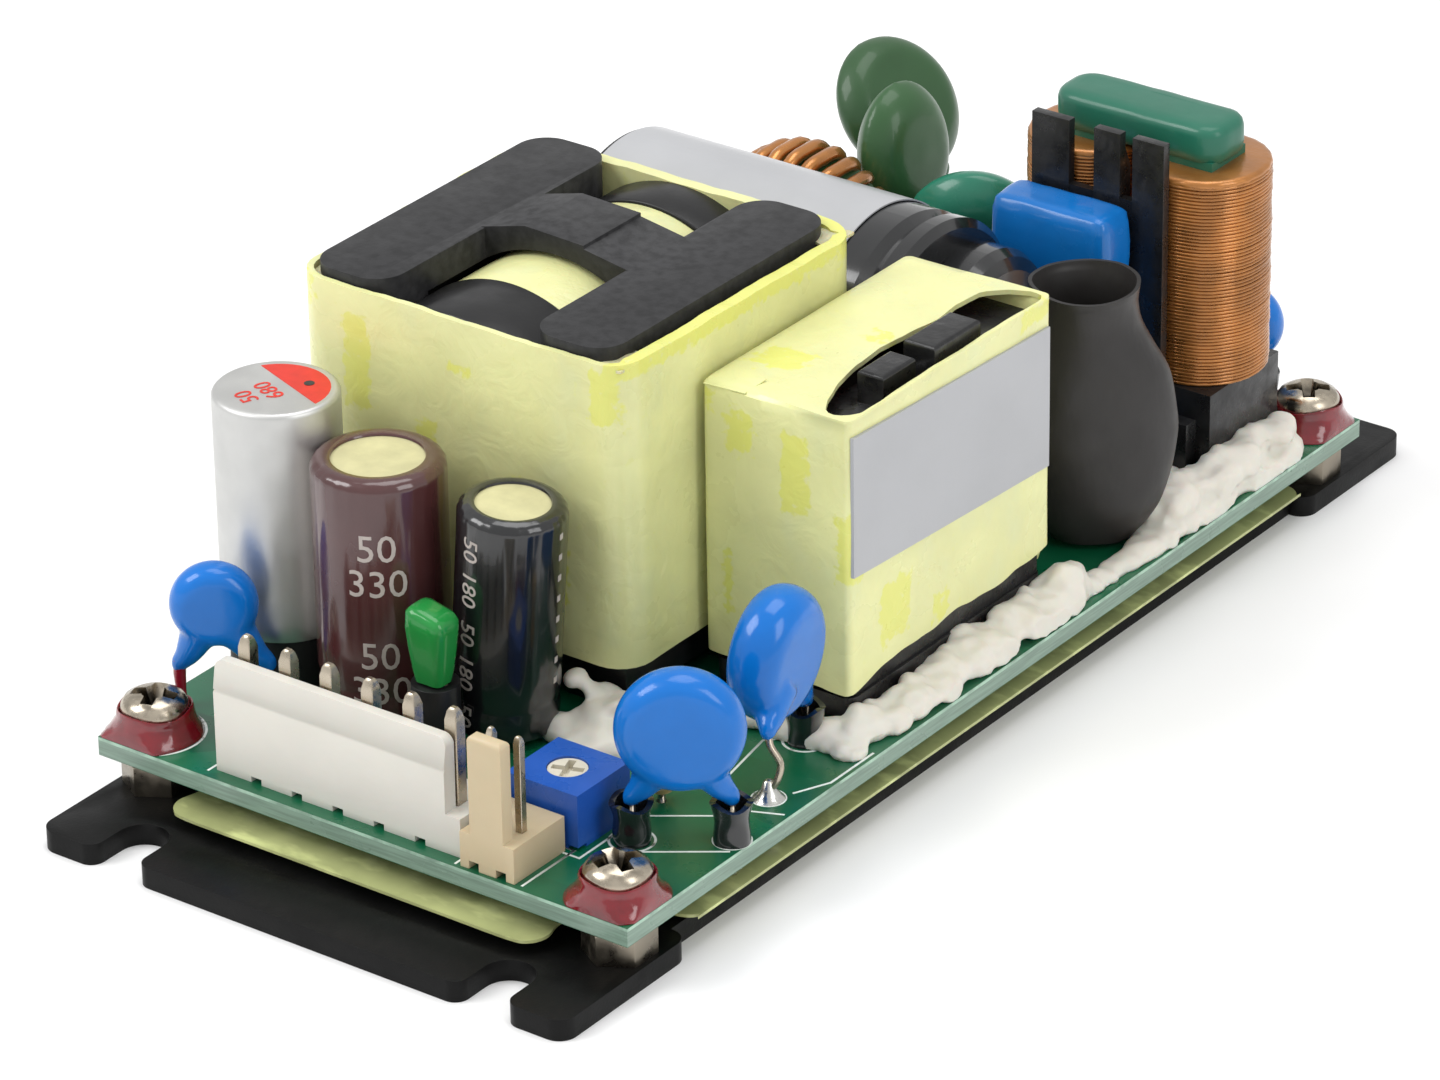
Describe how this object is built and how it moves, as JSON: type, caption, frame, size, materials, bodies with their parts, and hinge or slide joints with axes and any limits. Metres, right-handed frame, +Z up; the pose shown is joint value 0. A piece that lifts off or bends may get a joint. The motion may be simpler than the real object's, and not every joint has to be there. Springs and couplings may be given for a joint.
{
  "type": "open frame power supply",
  "caption": "Open frame mains power supply: a populated board on standoffs over a slotted black base plate, with an adjustable trimmer.",
  "frame": {"origin": "centre of the base plate's underside", "axes": "+X across the board, +Y from the output connector to the mains end, +Z up"},
  "size_m": [0.0514, 0.1168, 0.0384],
  "materials": {
    "black_moulding": "satin",
    "black_plate": "satin",
    "black_rubber": "matte",
    "black_shrink": "satin",
    "black_sleeve": "gloss",
    "blue_case": "satin",
    "blue_epoxy": "gloss",
    "brown_sleeve": "gloss",
    "can_aluminium": "satin",
    "clear_film": "gloss",
    "copper": "gloss",
    "cream_nylon": "matte",
    "ferrite": "matte",
    "green_epoxy": "satin",
    "green_lens": "gloss",
    "grey_label": "satin",
    "nickel": "satin",
    "red_cup": "gloss",
    "rotor_cream": "matte",
    "soft_pad": "matte",
    "solder_mask": "gloss",
    "tan_body": "satin",
    "teal_epoxy": "gloss",
    "tinned_wire": "bright",
    "white_nylon": "matte",
    "white_silicone": "matte",
    "yellow_tape": "satin"
  },
  "bodies": {
    "supply": {"ac_header_housing": "white_nylon", "ac_header_pins": "tinned_wire", "base_gap_pad": "soft_pad", "base_plate": "black_plate", "black_capacitor_can": "can_aluminium", "black_capacitor_sleeve": "black_sleeve", "board_screws": "nickel", "bridge_rectifier": "black_moulding", "brown_capacitor_can": "can_aluminium", "brown_capacitor_sleeve": "brown_sleeve", "bulk_capacitor_can": "can_aluminium", "bulk_capacitor_label": "grey_label", "bulk_capacitor_plug": "black_rubber", "bulk_capacitor_sleeve": "black_sleeve", "choke_bobbin": "black_moulding", "choke_core": "ferrite", "choke_label": "grey_label", "choke_tape": "yellow_tape", "choke_winding": "copper", "circuit_board": "solder_mask", "component_leads": "tinned_wire", "filter_choke_bobbin": "black_moulding", "filter_choke_core": "teal_epoxy", "filter_choke_windings": "copper", "glue_beads": "white_silicone", "inrush_disc": "green_epoxy", "inrush_disc_sleeve": "black_shrink", "insulating_film": "clear_film", "lead_sleeves": "black_shrink", "led_spacer": "black_moulding", "line_fuse": "black_moulding", "output_header_housing": "white_nylon", "output_header_pins": "tinned_wire", "package_pads": "soft_pad", "polymer_capacitor_can": "can_aluminium", "polymer_capacitor_seat": "black_rubber", "power_packages": "black_moulding", "screw_cones": "red_cup", "signal_header_housing": "cream_nylon", "signal_header_pins": "tinned_wire", "small_green_disc": "green_epoxy", "standoffs": "nickel", "status_led": "green_lens", "surge_absorber": "green_epoxy", "tan_resistor": "tan_body", "teal_disc": "teal_epoxy", "toroid_core": "green_epoxy", "toroid_winding": "copper", "transformer_bobbin": "black_moulding", "transformer_core": "ferrite", "transformer_pin_base": "black_moulding", "transformer_tape": "yellow_tape", "transformer_winding": "yellow_tape", "trimmer_body": "blue_case", "x_capacitor": "blue_epoxy", "y_capacitor_far": "blue_epoxy", "y_capacitor_front": "blue_epoxy", "y_capacitor_left": "blue_epoxy", "y_capacitor_rear": "blue_epoxy"},
    "rotor": {"trimmer_rotor": "rotor_cream"}
  },
  "joints": [
    {"name": "trimmer_turn", "type": "hinge", "parent": "supply", "child": "rotor", "pos_m": [0.0123, -0.0406, 0.0092], "axis": [0, 0, 1], "range_deg": [-130, 130]}
  ]
}
